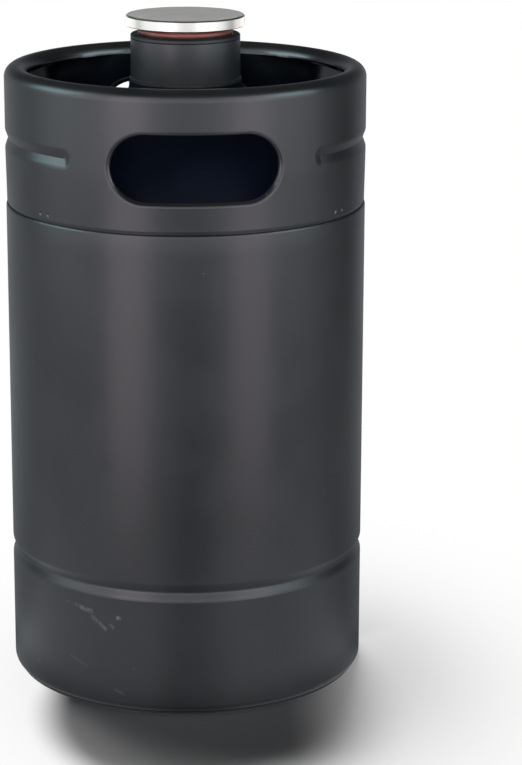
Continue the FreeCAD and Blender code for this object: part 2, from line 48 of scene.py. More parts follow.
# ---- Node trees ----------------------------------------------------------------------
class Wiring:
    """Places nodes in one tree and joins them."""

    SPACING = 220

    def __init__(self, tree: Tree) -> None:
        """Starts with an empty tree.

        Args:
            tree: The node tree to fill.
        """
        self.tree = tree
        tree.nodes.clear()

    def node(self, kind: str, *sources: Feed, **settings: object) -> Node:
        """Adds a node.

        Args:
            kind: Its type, without the prefix ShaderNode.
            *sources: Its first inputs, in order.
            **settings: Properties to set on it.

        Returns:
            The new node.
        """
        name = kind if kind.startswith("Node") else "ShaderNode" + kind
        made = self.tree.nodes.new(name)
        for key, value in settings.items():
            setattr(made, key, value)
        for socket, source in zip(made.inputs, sources):
            self.feed(socket, source)
        made.location = (self.SPACING * len(self.tree.nodes), 0)
        return made

    def feed(self, socket: Socket, source: Feed) -> None:
        """Joins a socket to an input, or sets the input's own value.

        Args:
            socket: The input.
            source: A socket, a number, a vector or a colour.
        """
        if isinstance(source, Socket):
            self.tree.links.new(source, socket)
        elif isinstance(source, tuple) and socket.type == "RGBA":
            socket.default_value = (*source, 1.0)
        else:
            socket.default_value = source

    def calc(self, operation: str, *sources: Feed, clamp: bool = False) -> Socket:
        """Adds a Math node.

        Args:
            operation: The node's operation, such as SINE.
            *sources: Its inputs in order.
            clamp: Whether the result stays from 0 to 1.

        Returns:
            Its result.
        """
        return self.node("Math", *sources, operation=operation, use_clamp=clamp).outputs[0]

    def plus(self, first: Feed, second: Feed) -> Socket:
        """The sum of two values."""
        return self.calc("ADD", first, second)

    def minus(self, first: Feed, second: Feed) -> Socket:
        """The first value less the second."""
        return self.calc("SUBTRACT", first, second)

    def times(self, first: Feed, second: Feed) -> Socket:
        """The product of two values."""
        return self.calc("MULTIPLY", first, second)

    def larger(self, first: Feed, second: Feed) -> Socket:
        """The larger of two values."""
        return self.calc("MAXIMUM", first, second)

    def vector(self, operation: str, first: Feed, second: Feed = (0.0, 0.0, 0.0)) -> Socket:
        """Adds a Vector Math node.

        Args:
            operation: The node's operation, such as SUBTRACT.
            first: A vector.
            second: A vector, or a number for SCALE.

        Returns:
            Its result: a number for a length, a distance or a dot product, else a vector.
        """
        made = self.node("VectorMath", first, operation=operation)
        if operation == "SCALE":
            self.feed(made.inputs["Scale"], second)
        elif operation not in ("LENGTH", "NORMALIZE"):
            self.feed(made.inputs[1], second)
        plain = operation in ("LENGTH", "DISTANCE", "DOT_PRODUCT")
        return made.outputs["Value" if plain else "Vector"]

    def axes(self, place: Feed) -> tuple[Socket, ...]:
        """The X, Y and Z of a place."""
        return tuple(self.node("SeparateXYZ", place).outputs)

    def ramp(self, source: Feed, low: Feed, high: Feed, start: Feed = 0.0,
             end: Feed = 1.0) -> Socket:
        """Maps a value smoothly from one range to another.

        Args:
            source: The value.
            low: Where the change starts.
            high: Where it ends.
            start: The result at low.
            end: The result at high.

        Returns:
            The mapped value.
        """
        made = self.node("MapRange", interpolation_type="SMOOTHSTEP")
        for name, value in (("Value", source), ("From Min", low), ("From Max", high),
                            ("To Min", start), ("To Max", end)):
            self.feed(made.inputs[name], value)
        return made.outputs[0]

    def blend(self, mask: Feed, first: Feed, second: Feed) -> Socket:
        """Mixes two colours.

        Args:
            mask: 0 for the first colour and 1 for the second.
            first: A colour or a socket.
            second: A colour or a socket.

        Returns:
            The mixed colour.
        """
        made = self.node("Mix", mask, data_type="RGBA")
        # The node has other inputs and outputs too; these are the ones for colours.
        self.feed(made.inputs[6], first)
        self.feed(made.inputs[7], second)
        return made.outputs[2]

    def noise(self, place: Feed, cell: float, detail: float = 2.0,
              roughness: float = 0.5) -> Socket:
        """Adds noise whose lumps are about one cell across.

        Args:
            place: The point in object space.
            cell: Size of a lump.
            detail: Octaves of finer noise.
            roughness: Weight of those octaves.

        Returns:
            The noise, from 0 to 1.
        """
        made = self.node("TexNoise")
        for name, value in (("Vector", place), ("Scale", 1 / cell), ("Detail", detail),
                            ("Roughness", roughness)):
            self.feed(made.inputs[name], value)
        return made.outputs[0]

    def cells(self, place: Feed, cell: float, feature: str = "F1") -> Socket:
        """Adds a pattern of cells.

        Args:
            place: The point in object space.
            cell: Size of a cell.
            feature: What is measured, such as DISTANCE_TO_EDGE.

        Returns:
            The distance, in cells.
        """
        made = self.node("TexVoronoi", feature=feature)
        self.feed(made.inputs["Vector"], place)
        self.feed(made.inputs["Scale"], 1 / cell)
        return made.outputs[0]

    def streak(self, place: Feed, start: Vector, end: Vector, width: float,
               strength: float, core: float = 0.2) -> Socket:
        """A soft line between two points.

        Args:
            place: The point in object space.
            start: Where the line starts.
            end: Where it ends.
            width: Its half width.
            strength: The mask along its middle.
            core: Share of the half width that has the full strength.

        Returns:
            The mask.
        """
        run = end - start
        away = self.vector("SUBTRACT", place, start)
        along = self.vector("DOT_PRODUCT", away, run / run.length_squared)
        share = self.calc("MULTIPLY", along, 1.0, clamp=True)
        apart = self.vector("DISTANCE", away, self.vector("SCALE", run, share))
        return self.ramp(apart, core * width, width, strength, 0.0)

    def group(self, tree: Tree, **sources: Feed) -> Node:
        """Places a node group.

        Args:
            tree: The group.
            **sources: Its inputs by name.

        Returns:
            The group's node.
        """
        made = self.node("Group", node_tree=tree)
        for name, source in sources.items():
            self.feed(made.inputs[name], source)
        return made


class SharedEffect(Wiring):
    """A node group that several materials use; each group takes a Place."""

    def __init__(self, name: str, inputs: dict[str, float | None],
                 outputs: tuple[str, ...]) -> None:
        """Makes the group and its sockets.

        Args:
            name: The group's name.
            inputs: Each input with its default, or None for a vector.
            outputs: Names of the values that it puts out.
        """
        super().__init__(bpy.data.node_groups.new(name, "ShaderNodeTree"))
        add = self.tree.interface.new_socket
        for label, default in inputs.items():
            kind = "NodeSocketVector" if default is None else "NodeSocketFloat"
            socket = add(label, in_out="INPUT", socket_type=kind)
            if default is not None:
                socket.default_value = default
        for label in outputs:
            add(label, in_out="OUTPUT", socket_type="NodeSocketFloat")
        self.given = self.node("NodeGroupInput").outputs
        self.place = self.given["Place"]
        self.end = self.node("NodeGroupOutput")

    def put(self, name: str, source: Feed) -> None:
        """Sends a value to the group's output of that name."""
        self.feed(self.end.inputs[name], source)


def grain_effect(grain_cell: float = 0.0009, peel_cell: float = 0.006) -> Tree:
    """The fine texture of sprayed powder or of a spark-eroded mould, with a softer peel.

    Args:
        grain_cell: Size of a grain.
        peel_cell: Size of a lump of the peel.

    Returns:
        A group that takes Place, Grain and Peel, and puts out Height.
    """
    inputs = {"Place": None, "Grain": 1.0, "Peel": 1.0}
    effect = SharedEffect("fine_grain", inputs, ("Height",))
    fine = effect.noise(effect.place, grain_cell, detail=3.0, roughness=0.6)
    soft = effect.noise(effect.place, peel_cell, detail=1.0)
    effect.put("Height", effect.plus(effect.times(fine, effect.given["Grain"]),
                                     effect.times(soft, effect.given["Peel"])))
    return effect.tree


def turned_effect() -> Tree:
    """Fine lines round the keg's axis, as turning, drawing or polishing leaves them.

    Returns:
        A group that takes Place, Pitch and Wander, and puts out Lines and Radius.
    """
    inputs = {"Place": None, "Pitch": 0.0004, "Wander": 0.2}
    effect = SharedEffect("turned_lines", inputs, ("Lines", "Radius"))
    wander = effect.given["Wander"]
    x, y, z = effect.axes(effect.place)
    radius = effect.calc("SQRT", effect.plus(effect.times(x, x), effect.times(y, y)))
    angle = effect.calc("ARCTAN2", y, x)
    across = effect.calc("DIVIDE", effect.minus(radius, z), effect.given["Pitch"])
    place = effect.node("CombineXYZ", across,
                        effect.times(effect.calc("COSINE", angle), wander),
                        effect.times(effect.calc("SINE", angle), wander))
    effect.put("Lines", effect.noise(place.outputs[0], 1.0, detail=2.0, roughness=0.6))
    effect.put("Radius", radius)
    return effect.tree


def handling_effect(edge: Span = (0.35, 0.65)) -> Tree:
    """Soft clouds of dulled and polished finish, from handling and wiping.

    Args:
        edge: Values of the noise between which a cloud fades.

    Returns:
        A group that takes Place and Size, and puts out Mask.
    """
    effect = SharedEffect("handling", {"Place": None, "Size": 0.03}, ("Mask",))
    share = effect.calc("DIVIDE", 1.0, effect.given["Size"])
    scaled = effect.vector("SCALE", effect.place, share)
    clouds = effect.noise(scaled, 1.0, detail=4.0, roughness=0.55)
    effect.put("Mask", effect.ramp(clouds, *edge))
    return effect.tree


@dataclass(frozen=True)
class Glow:
    """How bright the surround is on each side, as gloss shows it.

    A pair of angles or of distances is where a change starts and where it ends.

    Attributes:
        middle: Azimuth of the brightest side.
        full: Brightness there.
        left: Brightness behind the keg on its left.
        right: Brightness behind the keg on its right.
        sides: Sines of the azimuths from left to right.
        fall: Angles from the middle at which the brightness falls.
        front: Angles from the middle at which the front's side ends.
        gap: Azimuth of a darker gap in front, with its edge and its level.
        dip: What the gap loses besides, at middle distances.
        dim: Azimuth of a part on the right that is dimmer far off.
    """

    middle: float = -8.0
    full: float = 0.73
    left: float = 0.46
    right: float = 0.36
    sides: Span = (-0.9, 0.9)
    fall: Span = (60.0, 130.0)
    front: Span = (75.0, 108.0)
    gap: float = -1.0
    gap_edge: Span = (5.0, 19.0)
    gap_level: float = 0.56
    dip: float = 0.18
    dip_start: Span = (0.25, 0.45)
    dip_end: Span = (0.75, 0.95)
    dim: float = 118.0
    dim_edge: Span = (3.0, 20.0)
    dim_level: float = 0.40
    dim_reach: Span = (0.3, 1.0)

    def group(self) -> Tree:
        """Builds the glow as a node group.

        Returns:
            A group that takes Place and puts out Strength and Ahead, 1 on the front's side.
        """
        effect = SharedEffect("surround_glow", {"Place": None}, ("Strength", "Ahead"))
        x, y, _ = effect.axes(effect.place)
        angle = effect.calc("ARCTAN2", x, effect.times(y, -1.0))
        reach = effect.vector("LENGTH", effect.place)
        aside, from_gap, from_dim = (
            effect.calc("ABSOLUTE", effect.minus(angle, math.radians(azimuth)))
            for azimuth in (self.middle, self.gap, self.dim))
        least = effect.ramp(effect.calc("SINE", angle), *self.sides, self.left, self.right)
        behind = effect.ramp(aside, *map(math.radians, self.fall))
        around = effect.ramp(behind, 0, 1, self.full, least)
        lowest = self.gap_level - self.dip
        darkest = effect.plus(effect.ramp(reach, *self.dip_start, self.gap_level, lowest),
                              effect.ramp(reach, *self.dip_end, 0.0, self.dip))
        dark = effect.ramp(from_gap, *map(math.radians, self.gap_edge), darkest, 1.0)
        least_far = effect.ramp(reach, *self.dim_reach, 1.0, self.dim_level)
        dim = effect.ramp(from_dim, *map(math.radians, self.dim_edge), least_far, 1.0)
        effect.put("Strength", effect.times(effect.times(around, dark), dim))
        effect.put("Ahead", effect.ramp(aside, *map(math.radians, self.front), 1.0, 0.0))
        return effect.tree


# ---- Finishes ------------------------------------------------------------------------
LINE_EDGE: Span = (0.2, 0.8)  # Values of turned lines between which a finish changes


@dataclass(frozen=True)
class Effects:
    """The node groups that the finishes share."""

    grain: Tree
    turned: Tree
    handling: Tree


class Skin(Wiring):
    """The tree of one material, with its Principled BSDF joined to the output."""

    def __init__(self, material: bpy.types.Material) -> None:
        """Starts with a plain shader.

        Args:
            material: The material to fill.
        """
        material.use_nodes = True
        super().__init__(material.node_tree)
        self.shader = self.node("BsdfPrincipled")
        self.node("OutputMaterial", self.shader.outputs[0])
        coordinates = self.node("TexCoord").outputs
        self.place = coordinates["Object"]
        self.normal = coordinates["Normal"]

    def join(self, colour: Feed, rough: Feed, height: Feed, depth: float) -> None:
        """Gives the surface its colour, its roughness and a relief.

        Args:
            colour: The colour.
            rough: The roughness.
            height: Height from 0 to 1.
            depth: Depth of the relief.
        """
        relief = self.node("Bump")
        for name, value in (("Strength", 1.0), ("Distance", depth), ("Height", height)):
            self.feed(relief.inputs[name], value)
        for name, value in (("Base Color", colour), ("Roughness", rough),
                            ("Normal", relief.outputs[0])):
            self.feed(self.shader.inputs[name], value)


@dataclass(frozen=True)
class Finish:
    """A procedural finish, from which a material is made once."""

    name: str
    effects: Effects

    def material(self) -> bpy.types.Material:
        """Makes the material, or returns the one made before.

        Returns:
            The material.
        """
        label = self.name + "_finish"
        made = bpy.data.materials.get(label)
        if made is None:
            made = bpy.data.materials.new(label)
            self.wire(Skin(made))
        return made

    def wire(self, skin: Skin) -> None:
        """Joins the finish's pattern to the shader.

        Args:
            skin: The material's tree.
        """
        raise NotImplementedError

    def clouds(self, skin: Skin, size: float) -> Socket:
        """Soft clouds from handling, as a mask."""
        return skin.group(self.effects.handling, Place=skin.place, Size=size).outputs[0]


@dataclass(frozen=True)
class RubAndHighlight:
    """A pale mark between two places on a round wall; some are wear, some are painted
    highlights.

    Attributes:
        start: Azimuth and height where it starts.
        end: Azimuth and height where it ends.
        width: Its half width.
        strength: How much of the pale colour shows along its middle.
        radius: Radius of the wall.
    """

    start: Span
    end: Span
    width: float
    strength: float
    radius: float = 0.0810

    def mask(self, skin: Skin) -> Socket:
        """The mark as a mask in the tree of a material."""
        ends = [around_axis(azimuth, self.radius, height)
                for azimuth, height in (self.start, self.end)]
        return skin.streak(skin.place, *ends, self.width, self.strength)


@dataclass(frozen=True)
class PowderCoat(Finish):
    """Matte black powder coat on steel sheet.

    Attributes:
        dark: Its colour where handling has polished it.
        light: Its colour where it is dull.
        roughness: Its roughness, polished and dull.
        cloud: Size of the polished clouds.
        rubs_and_highlights: Pale marks, of wear and painted highlights.
        speck: Size of the specks that break up those marks.
        roll: Height from which the wall leans in, and the radius of that bend.
        soft: A groove's flank: height of its middle, half its height, slope of its ends.
        inside: A painted shade: the darker colour of faces that look towards the axis, if
            one is given.
        inside_edge: Cosines of how squarely a face looks at the axis.
    """

    dark: Colour = (0.0060, 0.0063, 0.0070)
    light: Colour = (0.0084, 0.0088, 0.0096)
    roughness: Span = (0.30, 0.34)
    specular: float = 0.5
    depth: float = 0.00001
    cloud: float = 0.035
    rubs_and_highlights: tuple[RubAndHighlight, ...] = ()
    # Pale colour of the marks, for wear and for painted highlights
    rub_and_highlight_colour: Colour = (0.34, 0.35, 0.36)
    speck: float = 0.0016
    speck_edge: Span = (0.40, 0.56)
    speck_least: float = 0.25
    roll: Span | None = None
    soft: tuple[float, float, float] | None = None
    inside: Colour | None = None
    inside_roughness: float = 0.12
    inside_edge: Span = (-0.985, -0.90)

    def wire(self, skin: Skin) -> None:
        """Joins grain, marks of wear, painted highlights, painted shade and handling marks
        to the surface.

        Args:
            skin: The material's tree.
        """
        skin.shader.inputs["Specular IOR Level"].default_value = self.specular
        mask = self.clouds(skin, self.cloud)
        colour = skin.blend(mask, self.dark, self.light)
        # Pale marks of wear, and painted highlights
        if self.rubs_and_highlights:
            colour = skin.blend(self.worn_and_highlighted(skin), colour, self.rub_and_highlight_colour)
        rough = skin.ramp(mask, 0, 1, *self.roughness)
        # Painted shade: faces that look towards the axis take the darker inside colour
        if self.inside is not None:
            inner = self.faces_axis(skin)
            colour = skin.blend(inner, colour, self.inside)
            rough = skin.ramp(inner, 0, 1, rough, self.inside_roughness)
        height = skin.group(self.effects.grain, Place=skin.place).outputs[0]
        if self.roll is not None:
            height = skin.minus(height, self.rolled(skin))
        if self.soft is not None:
            height = skin.plus(height, self.softened(skin))
        skin.join(colour, rough, height, self.depth)

    def worn_and_highlighted(self, skin: Skin) -> Socket:
        """How pale the coat is made, by wear and by painted highlights.

        Args:
            skin: The material's tree.

        Returns:
            The mask of all the rubs, broken up by specks.
        """
        marks = 0.0
        for pale_mark in self.rubs_and_highlights:
            marks = skin.larger(marks, pale_mark.mask(skin))
        specks = skin.noise(skin.place, self.speck, detail=3.0, roughness=0.6)
        broken = skin.ramp(specks, *self.speck_edge, self.speck_least, 1.0)
        return skin.times(marks, broken)

    def faces_axis(self, skin: Skin) -> Socket:
        """1 on the faces that look squarely towards the keg's axis.

        Args:
            skin: The material's tree.

        Returns:
            The mask.
        """
        level = skin.vector("MULTIPLY", skin.place, (1.0, 1.0, 0.0))
        outward = skin.vector("NORMALIZE", level)
        facing = skin.vector("DOT_PRODUCT", outward, skin.normal)
        return skin.ramp(facing, *self.inside_edge, 1.0, 0.0)

    def rolled(self, skin: Skin) -> Socket:
        """How far the wall leans in towards its top edge.

        Args:
            skin: The material's tree.

        Returns:
            The distance, in units of the relief's depth.
        """
        start, bend = self.roll
        above = skin.larger(skin.minus(skin.axes(skin.place)[2], start), 0.0)
        return skin.calc("DIVIDE", skin.times(above, above), 2 * bend * self.depth)

    def softened(self, skin: Skin) -> Socket:
        """How far the coat fills the two ends of a groove's flank.

        Args:
            skin: The material's tree.

        Returns:
            The distance, in units of the relief's depth.
        """
        middle, half, slope = self.soft
        away = skin.minus(skin.axes(skin.place)[2], middle)
        within = skin.calc("MINIMUM", skin.larger(away, -half), half)
        cube = skin.times(skin.times(within, within), within)
        return skin.times(cube, slope / (3 * half * half * self.depth))


@dataclass(frozen=True)
class Steel(Finish):
    """Bare stainless steel with fine lines round the axis."""

    colour: Colour = (0.56, 0.55, 0.53)
    shade: Colour = (0.48, 0.47, 0.45)
    roughness: Span = (0.24, 0.36)
    pitch: float = 0.0004
    depth: float = 0.000002

    def wire(self, skin: Skin) -> None:
        """Joins the turned lines to the surface.

        Args:
            skin: The material's tree.
        """
        skin.shader.inputs["Metallic"].default_value = 1.0
        turned = skin.group(self.effects.turned, Place=skin.place, Pitch=self.pitch)
        lines = turned.outputs["Lines"]
        colour = skin.blend(lines, self.shade, self.colour)
        rough = skin.ramp(lines, *LINE_EDGE, *self.roughness)
        skin.join(colour, rough, lines, self.depth)


@dataclass(frozen=True)
class CapSteel(Finish):
    """The cap's cover: a satin top with clouds from handling, inside a polished edge."""

    satin: Colour = (0.40, 0.39, 0.37)
    satin_roughness: Span = (0.40, 0.52)
    satin_radius: float = 0.0254
    polished: Colour = (0.53, 0.50, 0.455)
    polished_roughness: float = 0.30
    polished_radius: float = 0.0258
    pitch: float = 0.00025
    wander: float = 0.6
    depth: float = 0.000003
    cloud: float = 0.012
    clouded: float = 0.35
    cloud_shade: float = 0.75

    def wire(self, skin: Skin) -> None:
        """Joins the satin and the polished part to the surface.

        Args:
            skin: The material's tree.
        """
        skin.shader.inputs["Metallic"].default_value = 1.0
        turned = skin.group(self.effects.turned, Place=skin.place, Pitch=self.pitch,
                            Wander=self.wander)
        lines = turned.outputs["Lines"]
        edge = skin.ramp(turned.outputs["Radius"], self.satin_radius, self.polished_radius)
        cloud = self.clouds(skin, self.cloud)
        shade = tuple(self.cloud_shade * part for part in self.satin)
        satin = skin.blend(skin.times(cloud, self.clouded), self.satin, shade)
        colour = skin.blend(edge, satin, self.polished)
        rough = skin.times(skin.minus(1.0, edge),
                           skin.ramp(lines, *LINE_EDGE, *self.satin_roughness))
        rough = skin.plus(rough, skin.times(edge, self.polished_roughness))
        skin.join(colour, rough, lines, self.depth)


@dataclass(frozen=True)
class BarePort(PowderCoat):
    """Powder coat that stops at the mouth, with bare turned steel in the bore.

    Here the roughness is that of the steel and that of the coat.
    """

    roughness: Span = (0.28, 0.48)
    depth: float = 0.000003
    cloud: float = 0.02
    steel: Colour = (0.52, 0.51, 0.49)
    pitch: float = 0.0005
    bare_radius: float = 0.0212
    coat_radius: float = 0.0216

    def wire(self, skin: Skin) -> None:
        """Joins the coat and the bare bore to the surface.

        Args:
            skin: The material's tree.
        """
        skin.shader.inputs["Specular IOR Level"].default_value = self.specular
        turned = skin.group(self.effects.turned, Place=skin.place, Pitch=self.pitch)
        coated = skin.ramp(turned.outputs["Radius"], self.bare_radius, self.coat_radius)
        cloud = self.clouds(skin, self.cloud)
        coat = skin.blend(cloud, self.dark, self.light)
        colour = skin.blend(coated, self.steel, coat)
        rough = skin.ramp(coated, 0, 1, *self.roughness)
        skin.feed(skin.shader.inputs["Metallic"], skin.minus(1.0, coated))
        skin.join(colour, rough, turned.outputs["Lines"], self.depth)


@dataclass(frozen=True)
class Moulded(Finish):
    """Moulded plastic or rubber with the mould's fine texture.

    Attributes:
        faded: Its colour in the clouds where it has faded.
        roughness: Its roughness outside and inside the clouds.
        grain: Strength of the texture.
        peel: Strength of the softer waves under it.
        painted_shade_heights: Heights between which a painted shade at the bottom gives way
            to the plain colour.
    """

    colour: Colour = (0.03, 0.03, 0.032)
    faded: Colour = (0.045, 0.045, 0.047)
    roughness: Span = (0.38, 0.5)
    cloud: float = 0.008
    grain: float = 0.6
    peel: float = 0.3
    depth: float = 0.00001
    painted_shade_heights: Span | None = None
    # Colour of the painted shade at the bottom
    painted_shade_colour: Colour = (0.030, 0.020, 0.018)

    def wire(self, skin: Skin) -> None:
        """Joins the mould's texture, fading and any painted shade at the bottom to the
        surface.

        Args:
            skin: The material's tree.
        """
        mask = self.clouds(skin, self.cloud)
        colour = skin.blend(mask, self.colour, self.faded)
        # Painted shade: darker towards the bottom, where shadow falls in the gap above the
        # neck's lip
        if self.painted_shade_heights is not None:
            unshaded = skin.ramp(skin.axes(skin.place)[2], *self.painted_shade_heights)
            colour = skin.blend(unshaded, self.painted_shade_colour, colour)
        rough = skin.ramp(mask, 0, 1, *self.roughness)
        texture = skin.group(self.effects.grain, Place=skin.place, Grain=self.grain,
                             Peel=self.peel)
        skin.join(colour, rough, texture.outputs[0], self.depth)


@dataclass(frozen=True)
class Foil(Finish):
    """Bright copper-coloured radiation foil, crinkled."""

    colour: Colour = (0.80, 0.45, 0.30)
    shade: Colour = (0.62, 0.33, 0.21)
    roughness: Span = (0.34, 0.18)
    crinkle: float = 0.004
    ridge: float = 0.35
    depth: float = 0.00006

    def wire(self, skin: Skin) -> None:
        """Joins the crinkles to the surface.

        Args:
            skin: The material's tree.
        """
        skin.shader.inputs["Metallic"].default_value = 1.0
        edge = skin.cells(skin.place, self.crinkle, "DISTANCE_TO_EDGE")
        ridge = skin.ramp(edge, 0.0, self.ridge)
        colour = skin.blend(ridge, self.shade, self.colour)
        rough = skin.ramp(ridge, 0, 1, *self.roughness)
        skin.join(colour, rough, ridge, self.depth)


@dataclass(frozen=True)
class Cellular(Finish):
    """A body of small cells or grains, such as foam or sintered powder."""

    colour: Colour = (0.86, 0.85, 0.80)
    shade: Colour = (0.66, 0.64, 0.58)
    roughness: Span = (0.8, 0.95)
    metallic: float = 0.0
    cell: float = 0.0008
    wall: Span = (0.1, 0.6)
    depth: float = 0.00008

    def wire(self, skin: Skin) -> None:
        """Joins the cells to the surface.

        Args:
            skin: The material's tree.
        """
        skin.shader.inputs["Metallic"].default_value = self.metallic
        hollow = skin.ramp(skin.cells(skin.place, self.cell), *self.wall)
        colour = skin.blend(hollow, self.colour, self.shade)
        rough = skin.ramp(hollow, 0, 1, *self.roughness)
        skin.join(colour, rough, skin.minus(1.0, hollow), self.depth)


@dataclass(frozen=True)
class SolderGlass(Finish):
    """Dark solder glass with a few bubbles."""

    colour: Colour = (0.10, 0.06, 0.04)
    bubbled: Colour = (0.22, 0.16, 0.11)
    roughness: Span = (0.06, 0.2)
    bubble: float = 0.0004
    bubble_edge: Span = (0.6, 0.7)
    depth: float = 0.00002

    def wire(self, skin: Skin) -> None:
        """Joins the bubbles to the surface.

        Args:
            skin: The material's tree.
        """
        noise = skin.noise(skin.place, self.bubble, detail=1.0)
        bubbles = skin.ramp(noise, *self.bubble_edge)
        colour = skin.blend(bubbles, self.colour, self.bubbled)
        rough = skin.ramp(bubbles, 0, 1, *self.roughness)
        skin.join(colour, rough, bubbles, self.depth)


# ---- The keg's sub-assemblies --------------------------------------------------------
def dress(node: str, finish: Finish) -> None:
    """Gives a CAD node its finish in every slot.

    Args:
        node: The node's name.
        finish: The finish.
    """
    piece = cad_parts[node]
    for slot in piece.material_slots:
        slot.material = finish.material()
    LOG.info("%s: %s", node, finish.name)


BODY_RUBS = (
    RubAndHighlight((-44.5, 0.0473), (-44.2, 0.0472), 0.0009, 0.12),
    RubAndHighlight((-41.1, 0.0471), (-38.4, 0.0462), 0.0009, 0.16),
    RubAndHighlight((-38.6, 0.0461), (-34.9, 0.0453), 0.0016, 0.22),
    RubAndHighlight((-34.5, 0.0428), (-33.4, 0.0414), 0.0017, 0.18),
    RubAndHighlight((-32.8, 0.0415), (-29.7, 0.0381), 0.0012, 0.20),
    RubAndHighlight((-27.9, 0.0402), (-27.1, 0.0396), 0.0013, 0.15),
    RubAndHighlight((-25.3, 0.0442), (-25.1, 0.0441), 0.0015, 0.30),
    RubAndHighlight((-43.4, 0.0220), (-36.8, 0.0188), 0.0007, 0.10),
    RubAndHighlight((-59.7, 0.0127), (-59.6, 0.0125), 0.0018, 0.10),
    RubAndHighlight((-20.1, 0.0210), (-20.0, 0.0210), 0.0009, 0.20),
    RubAndHighlight((-26.7, 0.0103), (-23.6, 0.0085), 0.0008, 0.13),
    RubAndHighlight((-52.9, 0.1891), (-52.8, 0.1890), 0.0005, 0.30),
    RubAndHighlight((-60.0, 0.1537), (-59.9, 0.1536), 0.0005, 0.30),
    RubAndHighlight((2.2, 0.2016), (2.3, 0.2016), 0.0005, 0.25),
)
# Painted highlight along the hand hole's rounded lower right edge
HOLE_EDGE_HIGHLIGHT = RubAndHighlight((25.6, 0.2388), (22.2, 0.2343), 0.0008, 0.24, radius=0.0805)
NECK_RUB = RubAndHighlight((-11.0, 0.2802), (-10.8, 0.2802), 0.0004, 0.35, radius=0.0245)


@dataclass(frozen=True)
class SpotWelds:
    """Painted highlights on the lower edges of the collar's spot welds, in pairs to each
    side of a hand hole.

    Attributes:
        pair: Angle from the hole's middle to the middle of a pair.
        half: Half the angle between the welds of a pair.
        height: Height of a weld's lower edge.
        span: Angle that the edge takes up.
    """

    pair: float = 52.8
    half: float = 1.9
    height: float = 0.2213
    span: float = 0.1
    width: float = 0.0009
    strength: float = 0.42
    radius: float = 0.0805

    def rubs_and_highlights(self) -> tuple[RubAndHighlight, ...]:
        """Painted highlights on their lower edges, which face up to the light.

        Returns:
            The painted highlights.
        """
        welds = [hole + side * self.pair + step for hole in (0, 180) for side in (-1, 1)
                 for step in (-self.half, self.half)]
        return tuple(RubAndHighlight((at, self.height), (at + self.span, self.height), self.width,
                         self.strength, self.radius) for at in welds)


@dataclass
class Shell:
    """The outside that the hands and the floor touch: body, shoulder, collar and base.

    Attributes:
        top_roll: Height from which the body leans in below the collar, and its bend.
        flank: The groove's upper flank: its middle, half its height, slope of its ends.
    """

    effects: Effects
    welds: SpotWelds = SpotWelds()
    top_roll: Span = (0.2085, 0.13)
    flank: tuple[float, float, float] = (0.05545, 0.0020, 0.26)
    # Painted shade: the darker colour of the collar's inner faces
    collar_inside_shade: Colour = (0.0008, 0.0018, 0.0036)

    def dress(self) -> None:
        """Coats every piece of the shell; the shoulder deep in the collar gets a painted
        shade, a darker and less glossy copy of the coat.
        """
        for node in ("base_plate", "seal_cover"):
            dress(node, PowderCoat("powder_coat", self.effects))
        dress("outer_wall", PowderCoat("body_coat", self.effects, rubs_and_highlights=BODY_RUBS,
                                       roll=self.top_roll, soft=self.flank))
        # Painted shade on the collar's inner faces; painted highlights on the welds' lower
        # edges and the hand hole's edge
        dress("collar", PowderCoat("collar_coat", self.effects, inside=self.collar_inside_shade,
                                   rubs_and_highlights=(*self.welds.rubs_and_highlights(), HOLE_EDGE_HIGHLIGHT)))
        # Painted shade: the shoulder inside the collar is drawn darker than the same coat
        # elsewhere
        dress("outer_shoulder", PowderCoat(
            "painted_shade_coat", self.effects, dark=(0.0011, 0.0020, 0.0042),
            light=(0.0016, 0.0026, 0.0058), roughness=(0.46, 0.54), specular=0.09))


@dataclass
class Neck:
    """The neck's sleeve, its weld ring and the threaded ferrule."""

    effects: Effects

    def dress(self) -> None:
        """Coats the outside with a lighter copy of the black coat, which paints light on
        the neck, and leaves the threaded bore bare.
        """
        for node in ("neck_sleeve", "neck_weld_ring"):
            # Painted light: a lighter copy of the body's black coat, making up for the
            # little light that reaches the neck
            dress(node, PowderCoat(
                "lightened_neck_coat", self.effects, dark=(0.016, 0.0165, 0.0175),
                light=(0.021, 0.0215, 0.0225), rubs_and_highlights=(NECK_RUB,)))
        dress("threaded_ferrule", BarePort("coated_lip", self.effects))


@dataclass
class InnerVessel:
    """The inner vessel, its foil and what keeps the vacuum."""

    effects: Effects

    def dress(self) -> None:
        """Finishes the pieces between and inside the walls."""
        steel = Steel("drawn_steel", self.effects)
        for node in ("inner_shoulder", "inner_wall", "inner_bottom", "getter_bracket"):
            dress(node, steel)
        dress("foil_wrap", Foil("radiation_foil", self.effects))
        dress("getter_pill", Cellular(
            "sintered_getter", self.effects, colour=(0.20, 0.20, 0.20),
            shade=(0.12, 0.12, 0.12), roughness=(0.55, 0.7), metallic=0.6, cell=0.0003,
            depth=0.00002))
        dress("vacuum_seal_bead", SolderGlass("solder_glass", self.effects))


@dataclass
class Cap:
    """The screw cap and its ring."""

    effects: Effects

    def dress(self) -> None:
        """Finishes the cover, the plug, its core and the ring."""
        dress("cap_cover", CapSteel("cap_steel", self.effects))
        dress("cap_plug", Moulded("cap_plastic", self.effects))
        dress("cap_foam_core", Cellular("cap_foam", self.effects))
        # The seal gets a painted shade along its lower edge
        dress("cap_seal", Moulded(
            "silicone", self.effects, colour=(0.42, 0.115, 0.080),
            faded=(0.50, 0.16, 0.12), roughness=(0.32, 0.42), grain=0.3, depth=0.000006,
            painted_shade_heights=(0.2932, 0.2958)))


